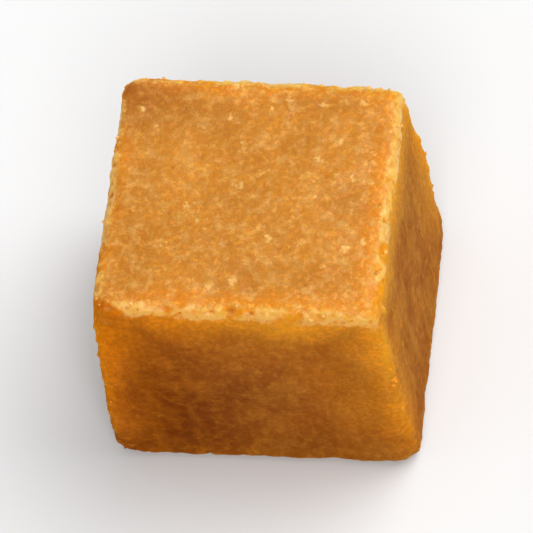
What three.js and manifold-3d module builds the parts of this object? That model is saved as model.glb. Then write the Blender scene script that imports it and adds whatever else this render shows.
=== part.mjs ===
// One cube of fudge, cut by hand from a poured slab: a single solid, resting on its foot.
// Millimetres, +Z up. X runs along the cube's width and Y from its front to its back.
// The origin is under the middle of the cube, on the surface that it rests on.

import * as THREE from 'three';
import { ImprovedNoise } from 'three/addons/math/ImprovedNoise.js';
import { mergeVertices } from 'three/addons/utils/BufferGeometryUtils.js';
import Module from 'manifold-3d';

// The block as it leaves the knife. It spreads a little towards its foot while it is still soft.
const WIDTH = 17.75; // half way up
const DEPTH = 16.75; // half way up
const HEIGHT = 16.5; // the slab's thickness
const TOP_NARROWER = 1.4; // the top is this much narrower than the foot
const TOP_SHORTER = 0.75; // and this much shorter from front to back
const BACK_NARROWER = 0.35; // the back is this much narrower than the front
const LEAN = 0.1; // the top stands this much to the left of the foot
const TOP_CROWN = 0.12; // the middle of the poured top stands this much above its rim
const SIDE_HOLLOW = 0.14; // the knife drags the middle of each side in by this much

// The edges are worn round, some stretches more than others, and the corners most.
const EDGE_RADIUS = 0.66;
const EDGE_UNEVEN = 0.6; // a share of the radius
const EDGE_STRETCH = 3.4; // how far apart the more worn stretches are
const CORNER_WEAR = 0.55; // the radius is larger by this share at a corner
const CORNER_REACH = 0.6; // where that begins, as a share of the way from the middle to the corner

// Unevenness of the faces: the height of the swells and how far apart they are.
const SWELL = 0.16;
const SWELL_SIZE = 6.5;
const RIPPLE = 0.09;
const RIPPLE_SIZE = 2.2;
const DRAG = 0.11; // the knife leaves upright ridges on the sides
const DRAG_WIDTH = 1.5;
const DRAG_LENGTH = 11;
const FOOT_FLAT = 1.4; // the unevenness fades out over this height above the foot

// Chips are crumbs lost along the edges, pores are air bubbles that the knife and the setting top have opened,
// and crumbs stick to the faces. Of each, small ones are far more common than large ones. `proud` is the range
// of how far a lump's middle lies outside the surface, as a share of its size, and `reach` how near to the edges
// of a face they come, as a share of its half width.
const CHIPS = { spacing: 1.6, smallest: 0.22, largest: 0.6, proud: [ 0.35, 0.6 ], stretch: [ 0.9, 2 ] };
const PORES = { aFace: 6, smallest: 0.22, largest: 0.5, proud: [ 0.35, 0.6 ], stretch: [ 1, 1.5 ], reach: 0.85 };
const CRUMBS = { aFace: 6, smallest: 0.15, largest: 0.28, proud: [ - 0.2, 0.15 ], stretch: [ 1, 1.5 ], reach: 0.9 };

// The largest chips. `corner` names an edge by the faces that meet at it: -1 is the left, front or foot,
// 1 the right, back or top, and 0 stands at the axis that the edge runs along. `share` is the place along
// that axis, from -1 to 1, and `size` and `stretch` are the chip's half depth and its length over that.
const NOTCHES = [
	{ corner: [ - 1, 0, 1 ], share: - 0.03, size: 0.7, stretch: 1 },
	{ corner: [ 0, 1, 1 ], share: 0.04, size: 0.62, stretch: 0.9 },
	{ corner: [ 0, 1, 1 ], share: 0.57, size: 0.5, stretch: 1 },
	{ corner: [ 0, - 1, 1 ], share: - 0.03, size: 0.62, stretch: 1.1 },
	{ corner: [ 0, - 1, 1 ], share: 0.52, size: 0.46, stretch: 2.2 },
	{ corner: [ 1, 1, 0 ], share: 0.35, size: 0.66, stretch: 1.4 },
	{ corner: [ - 1, 0, - 1 ], share: 0.4, size: 0.62, stretch: 1.6 },
	{ corner: [ 1, 0, - 1 ], share: - 0.2, size: 0.58, stretch: 1.2 }
];
const NOTCH_PROUD = 0.4; // as `proud` of the smaller chips

// Steps of the block's own mesh along X, Y and Z, and how strongly they crowd towards the edges.
const STEPS = [ 21, 18, 20 ];
const CROWDING = 0.62;

const FUDGE = new THREE.MeshStandardMaterial( { color: 0xd8903c, roughness: 0.55, metalness: 0 } );

const SEED = 41;

const half = new THREE.Vector3( WIDTH, DEPTH, HEIGHT ).multiplyScalar( 0.5 );
const noise = new ImprovedNoise();
const random = THREE.MathUtils.seededRandom;
random( SEED );
const wasm = await Module();
wasm.setup();

function between( low, high ) {

	return low + ( high - low ) * random();

}

// A closed geometry with its shared vertices merged, so that only its form is left.
function toForm( geometry ) {

	geometry.deleteAttribute( 'normal' );
	geometry.deleteAttribute( 'uv' );
	return mergeVertices( geometry, 1e-4 );

}

function toSolid( form ) {

	return new wasm.Manifold( new wasm.Mesh( {
		numProp: 3,
		vertProperties: form.attributes.position.array,
		triVerts: new Uint32Array( form.index.array )
	} ) );

}

function toGeometry( solid ) {

	const mesh = solid.getMesh();
	const geometry = new THREE.BufferGeometry();
	geometry.setAttribute( 'position', new THREE.BufferAttribute( mesh.vertProperties, 3 ) );
	geometry.setIndex( new THREE.BufferAttribute( mesh.triVerts, 1 ) );
	geometry.computeVertexNormals();
	return geometry;

}

// Smooth noise, from about -0.7 to 0.7. `size` and `tall` are how far apart its swells are, level and upright.
function unevenness( p, size, tall, shift ) {

	return noise.noise( p.x / size + shift, p.y / size - shift, p.z / tall + 2.3 * shift );

}

// Where a point of the sharp box ends up on the finished block, and which way the surface faces there.
function onBlock( x, y, z ) {

	const box = new THREE.Vector3( x, y, z );

	// The worn edges: the nearest point of a smaller box, then out by the radius.
	const cornered = Math.abs( x * y * z ) / ( half.x * half.y * half.z );
	const worn = 1 + CORNER_WEAR * THREE.MathUtils.smoothstep( cornered, CORNER_REACH, 1 );
	const radius = EDGE_RADIUS * worn * ( 1 + EDGE_UNEVEN * unevenness( box, EDGE_STRETCH, EDGE_STRETCH, 11.5 ) );
	const core = half.clone().subScalar( radius );
	const inner = box.clone().clamp( core.clone().negate(), core );
	const normal = box.clone().sub( inner ).normalize();
	const point = inner.addScaledVector( normal, radius );

	// Shares of the way from the middle to the sides, and up from the foot.
	const across = point.x / half.x;
	const along = point.y / half.y;
	const up = 0.5 + 0.5 * point.z / half.z;

	// The faces' own unevenness, along their normals.
	const offFoot = THREE.MathUtils.smoothstep( up * HEIGHT, 0.05, FOOT_FLAT );
	const sideways = Math.hypot( normal.x, normal.y );
	const swell = SWELL * unevenness( point, SWELL_SIZE, SWELL_SIZE, 3.1 );
	const ripple = RIPPLE * unevenness( point, RIPPLE_SIZE, RIPPLE_SIZE, 7.7 );
	const drag = DRAG * sideways * unevenness( point, DRAG_WIDTH, DRAG_LENGTH, 5.2 );
	const crown = TOP_CROWN * ( 1 - across * across ) * ( 1 - along * along ) * Math.max( 0, normal.z );
	const middle = ( 1 - ( 2 * up - 1 ) ** 2 ) * ( 1 - Math.min( across * across, along * along ) );
	const hollow = SIDE_HOLLOW * middle * sideways;
	point.addScaledVector( normal, offFoot * ( swell + ripple + drag + crown - hollow ) );

	// The cut is neither square nor upright.
	point.x *= 1 - TOP_NARROWER / WIDTH * ( up - 0.5 ) - 0.5 * BACK_NARROWER / WIDTH * along;
	point.y *= 1 - TOP_SHORTER / DEPTH * ( up - 0.5 );
	point.x -= LEAN * ( up - 0.5 );
	point.z += half.z;
	return { point, normal };

}

// Moves a box's evenly spaced steps towards its edges.
function crowd( share ) {

	return THREE.MathUtils.lerp( share, Math.sin( share * Math.PI / 2 ), CROWDING );

}

// The cut block, before anything has crumbled off it.
function makeBlock() {

	const form = toForm( new THREE.BoxGeometry( WIDTH, DEPTH, HEIGHT, ...STEPS ) );
	const position = form.attributes.position;
	for ( let i = 0; i < position.count; i ++ ) {

		const { point } = onBlock(
			half.x * crowd( position.getX( i ) / half.x ),
			half.y * crowd( position.getY( i ) / half.y ),
			half.z * crowd( position.getZ( i ) / half.z )
		);
		position.setXYZ( i, point.x, point.y, point.z );

	}

	return toSolid( form );

}

// A rough lump with flat sides. `size` is its half thickness, `stretch` its length along `direction` over that,
// and `proud` the share of its size by which its middle stands out of the block's surface.
function makeLump( { point, normal }, direction, size, stretch, proud ) {

	const lump = toForm( new THREE.IcosahedronGeometry( size, 0 ) );
	const spin = new THREE.Euler( between( 0, Math.PI ), between( 0, Math.PI ), between( 0, Math.PI ) );
	lump.applyMatrix4( new THREE.Matrix4().makeRotationFromEuler( spin ) );
	const position = lump.attributes.position;
	for ( let i = 0; i < position.count; i ++ ) {

		const rough = between( 0.8, 1.15 );
		position.setXYZ( i, rough * position.getX( i ), rough * position.getY( i ), rough * position.getZ( i ) );

	}

	const sideways = new THREE.Vector3().crossVectors( normal, direction ).normalize();
	const forward = new THREE.Vector3().crossVectors( sideways, normal );
	lump.scale( stretch, 1, 1 );
	lump.applyMatrix4( new THREE.Matrix4().makeBasis( forward, sideways, normal ) );
	lump.translate( ...point.clone().addScaledVector( normal, size * proud ) );
	return toSolid( lump );

}

// The twelve edges, in the way that NOTCHES names them.
function allEdges() {

	const edges = [];
	for ( const [ a, b ] of [ [ 0, 1 ], [ 0, 2 ], [ 1, 2 ] ] ) {

		for ( const [ sideA, sideB ] of [ [ - 1, - 1 ], [ - 1, 1 ], [ 1, - 1 ], [ 1, 1 ] ] ) {

			const corner = [ 0, 0, 0 ];
			corner[ a ] = sideA;
			corner[ b ] = sideB;
			edges.push( corner );

		}

	}

	return edges;

}

// A lump on an edge, stretched along it.
function lumpOnEdge( { corner, share, size, stretch }, proud ) {

	const run = corner.indexOf( 0 );
	const direction = new THREE.Vector3().setComponent( run, 1 );
	const place = [ ...corner ];
	place[ run ] = share;
	const spot = onBlock( place[ 0 ] * half.x, place[ 1 ] * half.y, place[ 2 ] * half.z );
	return makeLump( spot, direction, size, stretch, proud );

}

function makeChips( { spacing, smallest, largest, proud, stretch } ) {

	const chips = NOTCHES.map( ( notch ) => lumpOnEdge( notch, NOTCH_PROUD ) );
	for ( const corner of allEdges() ) {

		const length = 2 * half.getComponent( corner.indexOf( 0 ) );
		const count = Math.round( length / spacing );
		for ( let i = 0; i < count; i ++ ) {

			const chip = {
				corner,
				share: 2 * ( i + random() ) / count - 1,
				size: THREE.MathUtils.lerp( smallest, largest, random() ** 2.5 ),
				stretch: between( ...stretch )
			};
			chips.push( lumpOnEdge( chip, between( ...proud ) ) );

		}

	}

	return chips;

}

// Lumps scattered over every face but the foot.
function makeScatter( { aFace, smallest, largest, proud, stretch, reach } ) {

	const lumps = [];
	for ( const [ axis, side ] of [ [ 0, - 1 ], [ 0, 1 ], [ 1, - 1 ], [ 1, 1 ], [ 2, 1 ] ] ) {

		for ( let i = 0; i < aFace; i ++ ) {

			const place = [ between( - reach, reach ), between( - reach, reach ), between( - reach, reach ) ];
			place[ axis ] = side;
			const spot = onBlock( place[ 0 ] * half.x, place[ 1 ] * half.y, place[ 2 ] * half.z );
			const direction = new THREE.Vector3( between( - 1, 1 ), between( - 1, 1 ), between( - 1, 1 ) );
			const size = THREE.MathUtils.lerp( smallest, largest, random() ** 2 );
			lumps.push( makeLump( spot, direction, size, between( ...stretch ), between( ...proud ) ) );

		}

	}

	return lumps;

}

// The largest piece of a solid, without the scraps that a cut has set loose.
function largestBody( solid ) {

	return solid.decompose().reduce( ( a, b ) => ( b.volume() > a.volume() ? b : a ) );

}

function makeCube() {

	let cube = makeBlock();
	for ( const crumb of makeScatter( CRUMBS ) ) cube = cube.add( crumb );
	for ( const hollow of [ ...makeChips( CHIPS ), ...makeScatter( PORES ) ] ) cube = cube.subtract( hollow );

	const geometry = toGeometry( largestBody( cube ) );
	geometry.computeBoundingBox();
	const middle = geometry.boundingBox.getCenter( new THREE.Vector3() );
	geometry.translate( - middle.x, - middle.y, 0 );
	const mesh = new THREE.Mesh( geometry, FUDGE );
	mesh.name = 'fudge_cube';
	return mesh;

}

const part = new THREE.Group();
part.add( makeCube() );

export default part;
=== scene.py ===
"""One cube of fudge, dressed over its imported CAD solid. Metres, +Z up, the foot on the floor."""

import bpy
import numpy as np
from mathutils import Euler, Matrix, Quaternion, Vector


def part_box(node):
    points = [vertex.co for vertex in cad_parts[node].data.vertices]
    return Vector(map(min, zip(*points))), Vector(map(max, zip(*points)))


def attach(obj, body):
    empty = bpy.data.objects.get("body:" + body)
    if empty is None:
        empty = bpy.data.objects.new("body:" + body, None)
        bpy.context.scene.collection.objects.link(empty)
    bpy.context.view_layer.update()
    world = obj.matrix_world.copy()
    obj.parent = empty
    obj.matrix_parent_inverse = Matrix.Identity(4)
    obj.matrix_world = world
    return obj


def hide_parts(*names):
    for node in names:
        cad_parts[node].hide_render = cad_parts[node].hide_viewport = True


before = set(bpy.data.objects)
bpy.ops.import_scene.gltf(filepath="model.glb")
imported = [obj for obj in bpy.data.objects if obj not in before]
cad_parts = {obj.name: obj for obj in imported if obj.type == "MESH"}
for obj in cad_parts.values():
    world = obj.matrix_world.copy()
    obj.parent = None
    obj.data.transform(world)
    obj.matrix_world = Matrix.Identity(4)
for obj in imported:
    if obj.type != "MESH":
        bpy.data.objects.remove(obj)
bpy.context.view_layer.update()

# ---------------------------------------------------------------- camera
# It looks down on the cube from the front, a little from its right, and leans to one side, so that the cube's
# uprights tip to the left. It stands far off behind a long lens, which keeps the edges almost parallel.

MM = 0.001
CAMERA_AZIMUTH = np.radians(17.5)
CAMERA_ELEVATION = np.radians(57.6)
CAMERA_ROLL = np.radians(-13.0)
CAMERA_DISTANCE = 585 * MM
FRAMED_WIDTH = 32 * MM

lowest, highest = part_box("fudge_cube")
middle = (lowest + highest) / 2
towards_camera = Vector((
    np.sin(CAMERA_AZIMUTH) * np.cos(CAMERA_ELEVATION),
    -np.cos(CAMERA_AZIMUTH) * np.cos(CAMERA_ELEVATION),
    np.sin(CAMERA_ELEVATION),
))
aim = towards_camera.to_track_quat("Z", "Y") @ Quaternion((0, 0, 1), CAMERA_ROLL)
bpy.ops.object.camera_add(location=middle + CAMERA_DISTANCE * towards_camera, rotation=aim.to_euler())
camera = bpy.context.active_object
camera.data.lens = camera.data.sensor_width * CAMERA_DISTANCE / FRAMED_WIDTH
camera.data.clip_start = 0.1 * CAMERA_DISTANCE
camera.data.clip_end = 10 * CAMERA_DISTANCE
bpy.context.scene.camera = camera

# ---------------------------------------------------------------- the fudge cube
# Fudge is sugar, butter and milk, boiled and beaten until it grains, then poured on a tray to set. The cube
# is cut from that slab with a knife: its top is the dry poured skin, its sides are cut, and its foot lay on
# the tray.

SAME_POINT = 0.002 * MM  # corners of the CAD triangles that lie closer than this are one
GRAIN_STEP = 0.14 * MM  # how finely the surface is modelled

cad_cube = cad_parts["fudge_cube"]
fudge = bpy.data.objects.new("fudge", cad_cube.data.copy())
fudge.data.name = "fudge"
bpy.context.scene.collection.objects.link(fudge)


def pick(piece):
    """Makes a piece the only one that the next operators work on."""
    bpy.ops.object.select_all(action="DESELECT")
    piece.select_set(True)
    bpy.context.view_layer.objects.active = piece


def finish_with(piece, kind, **settings):
    """Adds a modifier to a piece and applies it."""
    pick(piece)
    modifier = piece.modifiers.new(kind.title(), kind)
    for name, value in settings.items():
        setattr(modifier, name, value)
    bpy.ops.object.modifier_apply(modifier=modifier.name)


pick(fudge)
bpy.ops.object.mode_set(mode="EDIT")
bpy.ops.mesh.select_all(action="SELECT")
bpy.ops.mesh.remove_doubles(threshold=SAME_POINT)
bpy.ops.object.mode_set(mode="OBJECT")
finish_with(fudge, "REMESH", mode="VOXEL", voxel_size=GRAIN_STEP)
finish_with(fudge, "SMOOTH", factor=0.5, iterations=2)


def points_of(piece):
    """The places of a piece's vertices, as an array."""
    places = np.empty(3 * len(piece.data.vertices), np.float32)
    piece.data.vertices.foreach_get("co", places)
    return places.reshape(-1, 3).astype(float)


def normals_of(piece):
    """The directions that a piece's vertices face, as an array."""
    directions = np.empty(3 * len(piece.data.vertices), np.float32)
    piece.data.vertex_normals.foreach_get("vector", directions)
    return directions.reshape(-1, 3).astype(float)


# The cube's eight corners are its furthest points along the diagonals, put back out to where the worn
# corners were sharp, and its twelve edges run between them.
WORN_CORNER = 0.42 * MM
places = points_of(fudge)
corners = {}
for diagonal in [(x, y, z) for x in (-1, 1) for y in (-1, 1) for z in (-1, 1)]:
    tip = places[np.argmax(places @ np.array(diagonal, float))]
    corners[diagonal] = tip + WORN_CORNER * np.array(diagonal)
edges = []
for start in corners:
    for axis in range(3):
        end = tuple(-sign if i == axis else sign for i, sign in enumerate(start))
        if start < end:
            edges.append((corners[start], corners[end]))


def far_from_edges(places):
    """How far each place is from the nearest of the cube's edges, in millimetres."""
    nearest = np.full(len(places), np.inf)
    for start, end in edges:
        run = end - start
        share = np.clip((places - start) @ run / (run @ run), 0, 1)
        nearest = np.minimum(nearest, np.linalg.norm(places - (start + share[:, None] * run), axis=1))
    return nearest / MM


def rise(values, low, high):
    """Goes smoothly from 0 below low to 1 above high."""
    share = np.clip((values - low) / (high - low), 0, 1)
    return share * share * (3 - 2 * share)


def group(piece, name, weights):
    """Gives each vertex of a piece its own weight in a vertex group, in steps of a hundredth."""
    made = piece.vertex_groups.new(name=name)
    steps = np.round(100 * np.clip(weights, 0, 1)).astype(int)
    for step in np.unique(steps):
        made.add(np.flatnonzero(steps == step).tolist(), step / 100, "REPLACE")


FLAT_FOOT = (0.15, 0.7)  # smooth below the first height, in mm, and fully rough above the second
CRUMBLY_BAND = (0.3, 1.05)  # fully crumbly nearer to an edge than the first, in mm, and not past the second

off_foot = rise(places[:, 2] / MM, *FLAT_FOOT)
upright = 1 - np.abs(normals_of(fudge)[:, 2])
crumbly = 1 - rise(far_from_edges(places), *CRUMBLY_BAND)
group(fudge, "off foot", off_foot)
group(fudge, "cut sides", off_foot * rise(upright, 0.55, 0.9))
group(fudge, "crumbly", off_foot * crumbly)

NOISE_SHIFT = 7.3  # in clouds, so that reliefs of different sizes don't line up


def relief(piece, name, size, height, where, ramp=(0.0, 1.0), stretch=(1, 1, 1), turn=(0, 0, 0)):
    """Raises a piece's surface by cloudy noise, with clouds of a size and a height in mm.

    ramp is the range of the noise that the height spans. stretch and turn draw the clouds out and tip them.
    """
    cloud = bpy.data.textures.new(name, "CLOUDS")
    cloud.noise_scale = 1.0
    cloud.noise_depth = 1
    cloud.use_color_ramp = True
    cloud.color_ramp.elements[0].position = ramp[0]
    cloud.color_ramp.elements[0].color = (0, 0, 0, 1)
    cloud.color_ramp.elements[1].position = ramp[1]
    cloud.color_ramp.elements[1].color = (1, 1, 1, 1)
    bpy.ops.object.empty_add(location=(NOISE_SHIFT * size * MM, 0, 0), rotation=turn)
    grid = bpy.context.active_object
    grid.scale = [size * MM * share for share in stretch]
    bpy.context.view_layer.update()
    finish_with(
        piece, "DISPLACE", texture=cloud, texture_coords="OBJECT", texture_coords_object=grid,
        strength=height * MM, mid_level=0.5, vertex_group=where,
    )
    bpy.data.objects.remove(grid)


relief(fudge, "swells", 1.4, 0.08, "off foot")
relief(fudge, "grain", 0.36, 0.08, "off foot")
relief(fudge, "drag", 0.6, 0.04, "cut sides", stretch=(1, 1, 9), turn=(0.06, 0.05, 0))
relief(
    fudge, "scratches", 0.35, -0.03, "cut sides", ramp=(0.6, 0.85), stretch=(1, 1, 14), turn=(-0.05, 0.08, 0),
)
relief(fudge, "pits", 0.5, -0.09, "off foot", ramp=(0.68, 0.88))
relief(fudge, "crumble", 0.9, 0.11, "crumbly", ramp=(0.3, 0.7))
relief(fudge, "crumble grain", 0.42, 0.09, "crumbly", ramp=(0.3, 0.7))
finish_with(fudge, "SMOOTH", factor=0.3, iterations=1)


def keep(piece, name, values):
    """Stores one number for each vertex of a piece, for its material."""
    stored = piece.data.attributes.new(name, "FLOAT", "POINT")
    stored.data.foreach_set("value", np.ascontiguousarray(values, np.float32))


# What the material needs to know of the form: how far each point is from an edge, and by how much it stands
# above or below the surface round it.
softened = fudge.copy()
softened.data = fudge.data.copy()
bpy.context.scene.collection.objects.link(softened)
finish_with(softened, "SMOOTH", factor=0.5, iterations=16)
stands_out = np.einsum("ij,ij->i", points_of(fudge) - points_of(softened), normals_of(softened)) / MM
bpy.data.objects.remove(softened)
keep(fudge, "edge distance", far_from_edges(points_of(fudge)))
keep(fudge, "relief", stands_out)
fudge.vertex_groups.clear()
pick(fudge)
bpy.ops.object.shade_smooth()


def colour(red, green, blue):
    """A colour given as on a screen, from 0 to 255, as the light that a shader works with."""
    shares = np.array((red, green, blue)) / 255
    light = np.where(shares < 0.04045, shares / 12.92, ((shares + 0.055) / 1.055) ** 2.4)
    return (*light.tolist(), 1)


SKIN = colour(226, 149, 50)  # the dry poured top
CUT = colour(171, 93, 32)  # the cut sides, darker than the top partly as painted shade
DEEP = colour(113, 48, 4)  # dark patches and grain, and painted shade: hollows, the middle and left of a cut side, the foot
GOLD = colour(255, 163, 32)  # painted glow next to the edges, where light comes through
AMBER = colour(250, 138, 4)  # the same painted glow on the shaded left, and pale marks there
RIM_WEAR_AND_HIGHLIGHT = colour(255, 192, 90)  # the worn ridge round the top, paler also as a painted highlight
CRUMB = colour(250, 200, 116)  # dry crumbs and sugar
SUBSURFACE_RADIUS = (3.6, 1.6, 0.4)  # how far light goes in, in mm, for red, green and blue


class Shade:
    """A socket in a material. Sums on it add Math nodes, and node() adds any other node."""

    def __init__(self, tree, socket=None):
        self.tree = tree
        self.socket = socket

    def node(self, kind, settings=(), sockets=(), output=0):
        made = self.tree.nodes.new(kind)
        for name, value in dict(settings).items():
            setattr(made, name, value)
        feed(made, sockets)
        return Shade(self.tree, made.outputs[output])

    def sum(self, operation, *values):
        return self.node("ShaderNodeMath", {"operation": operation}, enumerate(values))

    def __add__(self, other):
        return self.sum("ADD", self, other)

    def __radd__(self, other):
        return self.sum("ADD", other, self)

    def __sub__(self, other):
        return self.sum("SUBTRACT", self, other)

    def __rsub__(self, other):
        return self.sum("SUBTRACT", other, self)

    def __mul__(self, other):
        return self.sum("MULTIPLY", self, other)

    def __rmul__(self, other):
        return self.sum("MULTIPLY", other, self)


def feed(node, sockets):
    """Sets a node's sockets to plain values, or links them to Shades."""
    for name, value in dict(sockets).items():
        if isinstance(value, Shade):
            value.tree.links.new(value.socket, node.inputs[name])
        else:
            node.inputs[name].default_value = value


def start_material(name):
    """A new material, as its shader and a Shade to build on."""
    material = bpy.data.materials.new(name)
    material.use_nodes = True
    return material, material.node_tree.nodes["Principled BSDF"], Shade(material.node_tree)


def ease(value, low, high):
    """Goes smoothly from 0 to 1 as a Shade goes from low to high, or from 1 to 0 if low is the higher."""
    settings = {"interpolation_type": "SMOOTHSTEP"}
    return value.node("ShaderNodeMapRange", settings, {"Value": value, "From Min": low, "From Max": high})


def blend(factor, first, second):
    """One colour going over into another."""
    settings = {"data_type": "RGBA", "clamp_factor": True}
    return factor.node("ShaderNodeMix", settings, {0: factor, 6: first, 7: second}, output=2)


def along_axis(vector, axis):
    """One part of a vector: along X for 0, Y for 1 and Z for 2."""
    return vector.node("ShaderNodeSeparateXYZ", {}, {0: vector}, output=axis)


def cloudy(place, size, detail=2.0, roughness=0.5):
    """Cloudy noise from 0 to 1 in a material, with clouds of a size in mm."""
    sockets = {"Vector": place, "Scale": 1 / (size * MM), "Detail": detail, "Roughness": roughness}
    return place.node("ShaderNodeTexNoise", {}, sockets)


UPPER_BAND = (12.0 * MM, 15.5 * MM)  # the heights between which the sides go over into the top's ridge


def paint_fudge():
    """The fudge's material. Masks, from 0 to 1, say where each of its colours lies."""
    material, shader, shade = start_material("fudge")
    place = shade.node("ShaderNodeTexCoord", output=3)
    facing = shade.node("ShaderNodeTexCoord", output=1)
    edge = shade.node("ShaderNodeAttribute", {"attribute_name": "edge distance"}, output=2)
    stands = shade.node("ShaderNodeAttribute", {"attribute_name": "relief"}, output=2)
    across = along_axis(place, 0)
    along = along_axis(place, 1)
    height = along_axis(place, 2)
    to_right = along_axis(facing, 0)
    right_side = ease(to_right, 0.4, 0.9)
    left_side = ease(to_right, -0.4, -0.9)

    # The poured skin on top is paler than the cut sides, partly as painted light, and a painted shadow lies
    # in its back left corner. The sides carry painted shade: darkest in their middle, away from the edges,
    # lower down and on the left, as the cube is painted lit from its right.
    skin = ease(along_axis(facing, 2), 0.55, 0.85)
    cut = 1 - skin
    # Painted light: the cube is painted lit from its right, and its left is painted in shade.
    painted_light_right = ease(across, -8.5 * MM, 3.0 * MM)
    # Painted shade: the sides darken away from their edges, lower down and towards the left.
    shaded_middle = ease(edge, 0.2, 3.1) * (1 - 0.68 * painted_light_right) * (1 - 0.5 * ease(height, 5.0 * MM, 14.0 * MM))
    shaded_middle = shaded_middle * (1 - 0.35 * left_side)
    # Painted shadow over the top's back left corner.
    corner_shadow = ease(across, -2.0 * MM, -9.0 * MM) * ease(along, 1.0 * MM, 8.0 * MM)
    tint = blend(skin - 0.75 * corner_shadow * skin, blend(shaded_middle, CUT, DEEP), SKIN)

    patches = ease(cloudy(place, 4.5, 3.0), 0.4, 0.66)
    pools = ease(cloudy(place, 2.6), 0.5, 0.64)
    spots = ease(cloudy(place, 0.7, 4.0, 0.65), 0.42, 0.72)
    grain = ease(cloudy(place, 0.3, 4.0, 0.75), 0.38, 0.62)
    drawn_down = shade.node("ShaderNodeMapping", {}, {"Vector": place, "Scale": (1, 1, 0.1)})
    streaks = ease(cloudy(drawn_down, 0.7), 0.45, 0.75)

    # Painted light: on the lit right, the sides are paler towards the top, and the right side most of all.
    upper = ease(height, *UPPER_BAND)
    tint = blend(painted_light_right * cut * (upper * (0.15 + 0.6 * right_side) + 0.15 * right_side), tint, SKIN)

    # Light that leaks through near the edges is painted in as a glow, amber on the shaded left and golden on
    # the lit right: in a narrow band on the top, and far into the sides, the further the more they are lit
    # and the higher they are. It dies away towards the foot, which is painted in shade.
    lit = 1 - (1 - painted_light_right) * (1 - ease(height, 3.0 * MM, 14.0 * MM))
    fading = edge * (1.2 - 0.85 * lit + 0.35 * right_side) + (cloudy(place, 3.2, 1.0) - 0.5) * 0.9
    fading = fading + (grain + spots) * 0.1
    at_foot = 0.1 + 0.35 * painted_light_right
    sides = 0.8 + 0.25 * painted_light_right + 0.15 * upper - 0.08 * right_side
    sides = sides * (at_foot + (1 - at_foot) * ease(height, 0.0, 8.0 * MM))
    glow = shade.sum("EXPONENT", 0.25 - fading) * sides * cut
    glow = glow + ease(edge + patches * 0.4 + corner_shadow, 2.0, 0.5) * skin * (0.4 + 0.3 * painted_light_right)
    golden = (painted_light_right * 0.9 + upper * 0.3) * (0.35 + 0.65 * glow)
    tint = blend(glow, tint, blend(golden, AMBER, GOLD))
    # Painted shade: the cut sides darken towards the foot, less on the lit right.
    tint = blend(ease(height, 5.0 * MM, 0.5 * MM) * cut * (0.62 - 0.17 * painted_light_right), tint, DEEP)

    # All of it is mottled, by dark patches, pale pools and spots and fine dark grain, and the knife has drawn
    # pale streaks down the sides.
    pale = blend(skin, SKIN, CRUMB)
    lightest = blend(cut * (1 - painted_light_right) * 0.8, pale, AMBER)
    tint = blend(patches * (0.18 + 0.22 * cut - 0.14 * glow), tint, DEEP)
    tint = blend(pools * cut * (0.24 - 0.1 * glow - 0.08 * shaded_middle), tint, lightest)
    tint = blend(spots * (0.38 + 0.11 * skin - 0.16 * shaded_middle) * (1 - 0.6 * corner_shadow * skin), tint, lightest)
    tint = blend(streaks * cut * (0.16 + 0.2 * right_side - 0.1 * shaded_middle), tint, lightest)
    tint = blend(grain * (0.32 - 0.08 * skin - 0.12 * glow * cut), tint, DEEP)
    # Painted shade: the hollows of the relief are darkened.
    tint = blend(ease(stands, -0.01, -0.08) * 0.35, tint, DEEP)

    # The ridge round the top is worn pale and painted with a highlight, in ragged stretches that leave its
    # hollows dark.
    ragged = edge - 0.35 * cut + spots * 0.45 + grain * 0.15
    ragged_rim = ease(ragged, 0.85, 0.45) * ease(cloudy(place, 2.4), 0.41, 0.51)
    rim_wear_and_highlight = ragged_rim * ease(stands, -0.05, 0.03) * ease(height, 14.6 * MM, 15.8 * MM)
    tint = blend(rim_wear_and_highlight * 0.82, tint, RIM_WEAR_AND_HIGHLIGHT)

    # Grains that stand up are paler, and so are soft specks of sugar, of uneven shape, most of them on top.
    wobble = shade.node("ShaderNodeTexNoise", {}, {"Vector": place, "Scale": 1 / (0.3 * MM)}, output=1)
    wobbled = {0: wobble, 1: (0.8 * MM, 0.8 * MM, 0.8 * MM), 2: place}
    wobbly = shade.node("ShaderNodeVectorMath", {"operation": "MULTIPLY_ADD"}, wobbled)
    scattered = {"Vector": wobbly, "Scale": 1 / (1.1 * MM)}
    apart = shade.node("ShaderNodeTexVoronoi", {}, scattered, output=0)
    chance = along_axis(shade.node("ShaderNodeTexVoronoi", {}, scattered, output=1), 0)
    sugar = ease(apart, 0.3, 0.1) * ease(chance + 0.15 * skin, 0.75, 0.95)
    tint = blend(ease(stands, 0.02, 0.09) * 0.25, tint, pale)
    tint = blend(sugar * (0.35 + 0.45 * skin - 0.14 * shaded_middle * cut), tint, pale)

    # The surface is matt, and less so on its buttery top and along its edges. Its finest grain is a bump.
    dull = 0.62 - 0.14 * skin - 0.12 * ease(edge, 1.2, 0.4) + 0.1 * grain
    buttery = 0.03 + 0.03 * painted_light_right + 0.18 * skin + 0.6 * rim_wear_and_highlight
    rough = cloudy(place, 0.1, 3.0, 0.7) * 0.8 + grain + sugar * 0.6
    bump = shade.node("ShaderNodeBump", {}, {"Height": rough, "Distance": 0.07 * MM, "Strength": 1.0})
    shader.subsurface_method = "RANDOM_WALK"
    feed(shader, {
        "Base Color": tint,
        "Roughness": dull,
        "Coat Weight": buttery,
        "Coat Roughness": 0.34,
        "Normal": bump,
        "Subsurface Weight": 0.55,
        "Subsurface Radius": SUBSURFACE_RADIUS,
        "Subsurface Scale": MM,
        "Specular IOR Level": 0.0,
        "IOR": 1.46,
    })
    return material


fudge.data.materials.clear()
fudge.data.materials.append(paint_fudge())
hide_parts("fudge_cube")
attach(fudge, "root")

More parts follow.
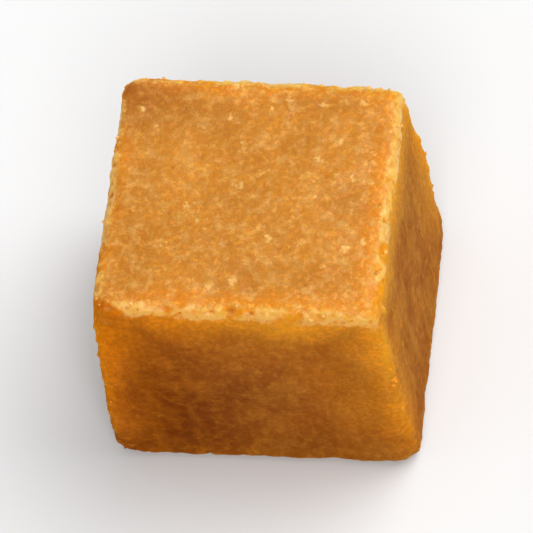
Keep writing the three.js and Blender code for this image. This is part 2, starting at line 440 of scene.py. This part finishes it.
# ---------------------------------------------------------------- crumbs
# Crumbs are bits of the fudge itself, broken off by the knife and stuck back on by the butter. They lie
# thickest along the edges. Like the fudge they carry painted light: the lowest are as dark as the shaded cut
# sides, those higher up take the painted golden glow, and the highest have dried pale.

SEED = 7
CRUMB_KINDS = 6
CRUMBS_OF_A_KIND = 25
CRUMB_SIZE = (0.05, 0.15)  # half across, in mm
CRUMB_ON_EDGE = 0.98  # the share that lies along the edges
CRUMB_EDGE_BAND = (0.25, 0.8)  # thickest nearer to an edge than the first, in mm, and gone past the second
CRUMB_LOWEST = 0.6 * MM  # none lies below this height
CRUMB_SINK = (-0.35, 0.15)  # how far a crumb's middle lies out of the surface, in half widths
CRUMB_SQUASH = (0.6, 1.3)

rng = np.random.default_rng(SEED)


def make_lump(seed):
    """A lump a unit across, with rough sides."""
    bpy.ops.object.select_all(action="DESELECT")
    bpy.ops.mesh.primitive_ico_sphere_add(subdivisions=2, radius=1)
    bpy.ops.object.mode_set(mode="EDIT")
    bpy.ops.transform.vertex_random(offset=0.32, uniform=0.1, normal=0.7, seed=seed)
    bpy.ops.object.mode_set(mode="OBJECT")
    return bpy.context.active_object


def strew(shapes, count, sizes, on_edge, name):
    """Joins many copies of small shapes, turned at random and sunk a little into the fudge's surface."""
    grounds, directions = points_of(fudge), normals_of(fudge)
    free = grounds[:, 2] > CRUMB_LOWEST
    by_edge = free * (1 - rise(far_from_edges(grounds), *CRUMB_EDGE_BAND))
    chances = on_edge * by_edge / by_edge.sum() + (1 - on_edge) * free / free.sum()
    all_points, all_faces, made = [], [], 0
    for shape in shapes:
        form = points_of(shape)
        faces = np.array([face.vertices[:] for face in shape.data.polygons])
        for ground in rng.choice(len(grounds), count, replace=False, p=chances):
            size = MM * (sizes[0] + (sizes[1] - sizes[0]) * rng.random() ** 2)
            turn = np.array(Euler(rng.uniform(0, 2 * np.pi, 3)).to_matrix())
            squash = rng.uniform(*CRUMB_SQUASH, 3)
            centre = grounds[ground] + directions[ground] * size * rng.uniform(*CRUMB_SINK)
            all_points.append((form * squash * size) @ turn.T + centre)
            all_faces.append(faces + made)
            made += len(form)
        bpy.data.objects.remove(shape)
    mesh = bpy.data.meshes.new(name)
    mesh.from_pydata(np.concatenate(all_points), [], np.concatenate(all_faces))
    piece = bpy.data.objects.new(name, mesh)
    bpy.context.scene.collection.objects.link(piece)
    pick(piece)
    bpy.ops.object.shade_smooth()
    return piece


lumps = [make_lump(seed) for seed in range(CRUMB_KINDS)]
crumbs = strew(lumps, CRUMBS_OF_A_KIND, CRUMB_SIZE, CRUMB_ON_EDGE, "crumbs")


def paint_crumbs():
    """The crumbs' material: partly as dark as the side that they stick to, and partly golden with painted
    glow, or pale.
    """
    material, shader, shade = start_material("crumbs")
    place = shade.node("ShaderNodeTexCoord", output=3)
    height = along_axis(place, 2)
    dark = blend(ease(height, 0.5 * MM, 7.0 * MM), CUT, SKIN)
    golden = blend(ease(height, 2.0 * MM, 12.0 * MM), dark, GOLD)
    light = blend(ease(height, *UPPER_BAND), golden, CRUMB)
    fine = {"Height": cloudy(place, 0.08, 3.0), "Distance": 0.02 * MM, "Strength": 0.7}
    feed(shader, {
        "Base Color": blend(cloudy(place, 0.5), dark, light),
        "Roughness": 0.55,
        "Specular IOR Level": 0.0,
        "Normal": shade.node("ShaderNodeBump", {}, fine),
    })
    return material


crumbs.data.materials.append(paint_crumbs())
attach(crumbs, "root")

# ---------------------------------------------------------------- floor and light
# A plain pale floor under wide, soft studio light. The brightest light stands behind the cube, high on its
# right, so that its front is in soft shade.

FLOOR_SIZE = 4.0
FLOOR_GREY = 0.72
WORLD_STRENGTH = 0.15

bpy.ops.mesh.primitive_plane_add(size=FLOOR_SIZE)
floor = bpy.context.active_object
floor.name = "floor"
floor_material, floor_shader, _ = start_material("floor")
feed(floor_shader, {
    "Base Color": (FLOOR_GREY, FLOOR_GREY, FLOOR_GREY, 1),
    "Roughness": 0.9,
    "Specular IOR Level": 0.1,
})
floor.data.materials.append(floor_material)


def softbox(name, strength, size, tilt, bearing):
    """A light as wide as size, tilted from overhead towards a bearing: 0 is the back and 90 the right."""
    turn = Euler((-np.radians(tilt), 0, -np.radians(bearing)))
    bpy.ops.object.light_add(type="SUN", rotation=turn)
    light = bpy.context.active_object
    light.name = name
    light.data.energy = strength
    light.data.angle = np.radians(size)


softbox("key", strength=2.17, size=50, tilt=34, bearing=50)
softbox("front", strength=1.5, size=36, tilt=42, bearing=168)
softbox("overhead", strength=0.88, size=120, tilt=0, bearing=0)
world = bpy.data.worlds.new("studio")
world.use_nodes = True
feed(world.node_tree.nodes["Background"], {"Color": (1, 1, 1, 1), "Strength": WORLD_STRENGTH})
bpy.context.scene.world = world
bpy.context.scene.view_settings.view_transform = "Standard"
